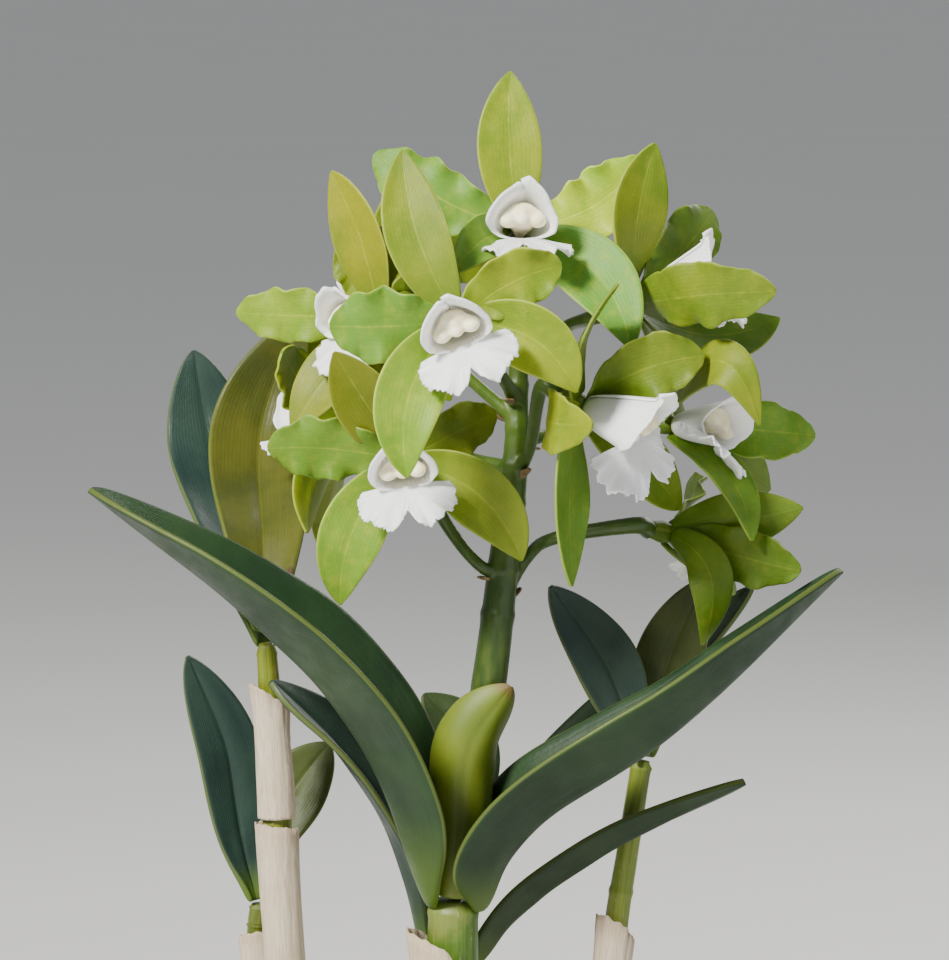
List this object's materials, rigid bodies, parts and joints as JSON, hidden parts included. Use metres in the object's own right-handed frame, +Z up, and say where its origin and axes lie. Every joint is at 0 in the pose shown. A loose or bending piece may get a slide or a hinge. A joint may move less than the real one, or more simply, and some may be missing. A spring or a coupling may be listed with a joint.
{
  "type": "potted cattleya orchid",
  "caption": "Potted cattleya orchid: clay pot of bark, upright canes in papery sheaths, strap leaves and one spray of green blooms with white lips.",
  "frame": {"origin": "middle of the underside of the pot, on the surface that it stands on", "axes": "+Z up along the pot's axis, -Y to the front of the plant, +X to the right of one who faces it"},
  "size_m": [0.2113, 0.154, 0.5012],
  "materials": {
    "clay": "matte unglazed terracotta with faint mineral bloom",
    "bark": "rough fir bark chips, matte",
    "rhizome": "dry green-brown rhizome with pale papery rings",
    "cane": "waxy green living cane, satin",
    "papery_sheath": "dry papery sheath with fine fibres",
    "leaf": "thick leathery green leaf, satin",
    "spathe": "thin yellow-green bract with fine veins",
    "flower_stalk": "smooth green stalk, satin",
    "tepal": "waxy yellow-green sepals and petals with faint veins",
    "lip": "waxy white lip with a cream column"
  },
  "bodies": {
    "root": {"bark_medium": "bark", "bloom_a_lip": "lip", "bloom_a_tepals": "tepal", "bloom_b_lip": "lip", "bloom_b_tepals": "tepal", "bloom_c_lip": "lip", "bloom_c_tepals": "tepal", "bloom_d_lip": "lip", "bloom_d_tepals": "tepal", "bloom_e_lip": "lip", "bloom_e_tepals": "tepal", "bloom_f_lip": "lip", "bloom_f_tepals": "tepal", "bloom_g_lip": "lip", "bloom_g_tepals": "tepal", "bloom_h_lip": "lip", "bloom_h_tepals": "tepal", "bloom_j_lip": "lip", "bloom_j_tepals": "tepal", "bloom_k_lip": "lip", "bloom_k_tepals": "tepal", "cane_back": "cane", "cane_left_low": "cane", "cane_left_tall": "cane", "cane_main": "cane", "cane_right_tall": "cane", "cane_second": "cane", "flower_spray": "flower_stalk", "leaf_back_left": "leaf", "leaf_back_right": "leaf", "leaf_left_low_a": "leaf", "leaf_left_low_b": "leaf", "leaf_left_tall_a": "leaf", "leaf_left_tall_b": "leaf", "leaf_main_left": "leaf", "leaf_main_right": "leaf", "leaf_right_tall_a": "leaf", "leaf_right_tall_b": "leaf", "leaf_second_left": "leaf", "leaf_second_right": "leaf", "pot": "clay", "rhizome": "rhizome", "sheath_back": "papery_sheath", "sheath_left_low": "papery_sheath", "sheath_left_tall": "papery_sheath", "sheath_left_upper": "papery_sheath", "sheath_main": "papery_sheath", "sheath_right_tall": "papery_sheath", "sheath_second": "papery_sheath", "spathe": "spathe"}
  },
  "joints": []
}
